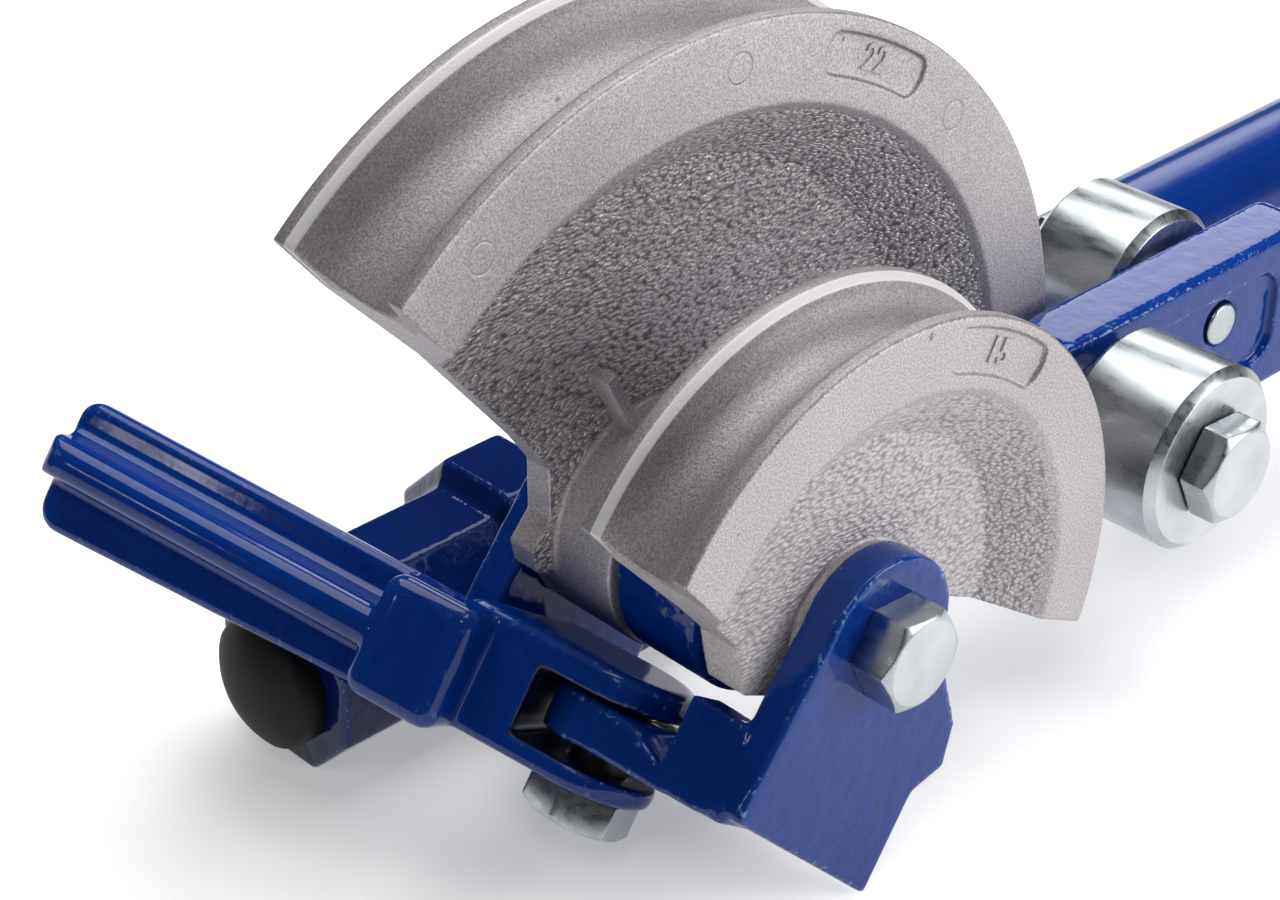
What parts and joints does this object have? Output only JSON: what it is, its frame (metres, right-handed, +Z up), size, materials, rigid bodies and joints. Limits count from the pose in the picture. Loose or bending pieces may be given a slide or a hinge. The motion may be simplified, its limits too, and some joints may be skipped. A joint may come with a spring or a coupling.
{
  "type": "pipe bender",
  "caption": "Hand pipe bender: cast yoke holding a small and a large grooved half-round former, a swinging lever with rollers, a fixed handle and a swinging tube stop.",
  "frame": {"origin": "on the axle's centre line, in the plane of the small former's front face", "axes": "+X along the handles, +Y along the axle from the small former to the large one, +Z up"},
  "size_m": [0.6356, 0.1469, 0.14],
  "materials": {
    "blue_paint": "gloss enamel over castings and tube",
    "cast_alloy": "blasted cast alloy with machined lips",
    "zinc": "bright zinc plate",
    "bronze": "plain turned bushes",
    "black_rubber": "matt black"
  },
  "bodies": {
    "frame": {"yoke": "blue_paint", "handle_socket": "blue_paint", "fixed_handle": "blue_paint", "socket_pin": "zinc", "front_plug": "black_rubber", "fixed_grip": "black_rubber", "small_former": "cast_alloy", "large_former": "cast_alloy", "axle_bolt": "zinc", "axle_washer": "zinc", "axle_nut": "zinc"},
    "lever": {"lever_head": "blue_paint", "lever_bush": "bronze", "lever_tube": "blue_paint", "lever_pins": "zinc", "lever_grip": "black_rubber", "small_roller_bolt": "zinc", "large_roller_bolt": "zinc", "small_roller_spacer": "zinc", "large_roller_spacer": "zinc"},
    "small_roller": {"small_roller": "zinc", "small_roller_bush": "bronze"},
    "large_roller": {"large_roller": "zinc", "large_roller_bush": "bronze"},
    "stop": {"stop_arm": "blue_paint", "stop_bolt": "zinc"}
  },
  "joints": [
    {"name": "lever_swing", "type": "hinge", "parent": "frame", "child": "lever", "pos_m": [0, 0.03225, 0], "axis": [0, -1, 0], "range_deg": [0, 150]},
    {"name": "small_roller_spin", "type": "hinge", "parent": "lever", "child": "small_roller", "pos_m": [0.08125, 0.00815, 0], "axis": [0, 1, 0], "continuous": true},
    {"name": "large_roller_spin", "type": "hinge", "parent": "lever", "child": "large_roller", "pos_m": [0.12205, 0.05075, 0], "axis": [0, 1, 0], "continuous": true},
    {"name": "stop_swing", "type": "hinge", "parent": "frame", "child": "stop", "pos_m": [-0.00385, 0.0375, 0.0027], "axis": [0.5736, 0, 0.8192], "range_deg": [0, 65]}
  ]
}
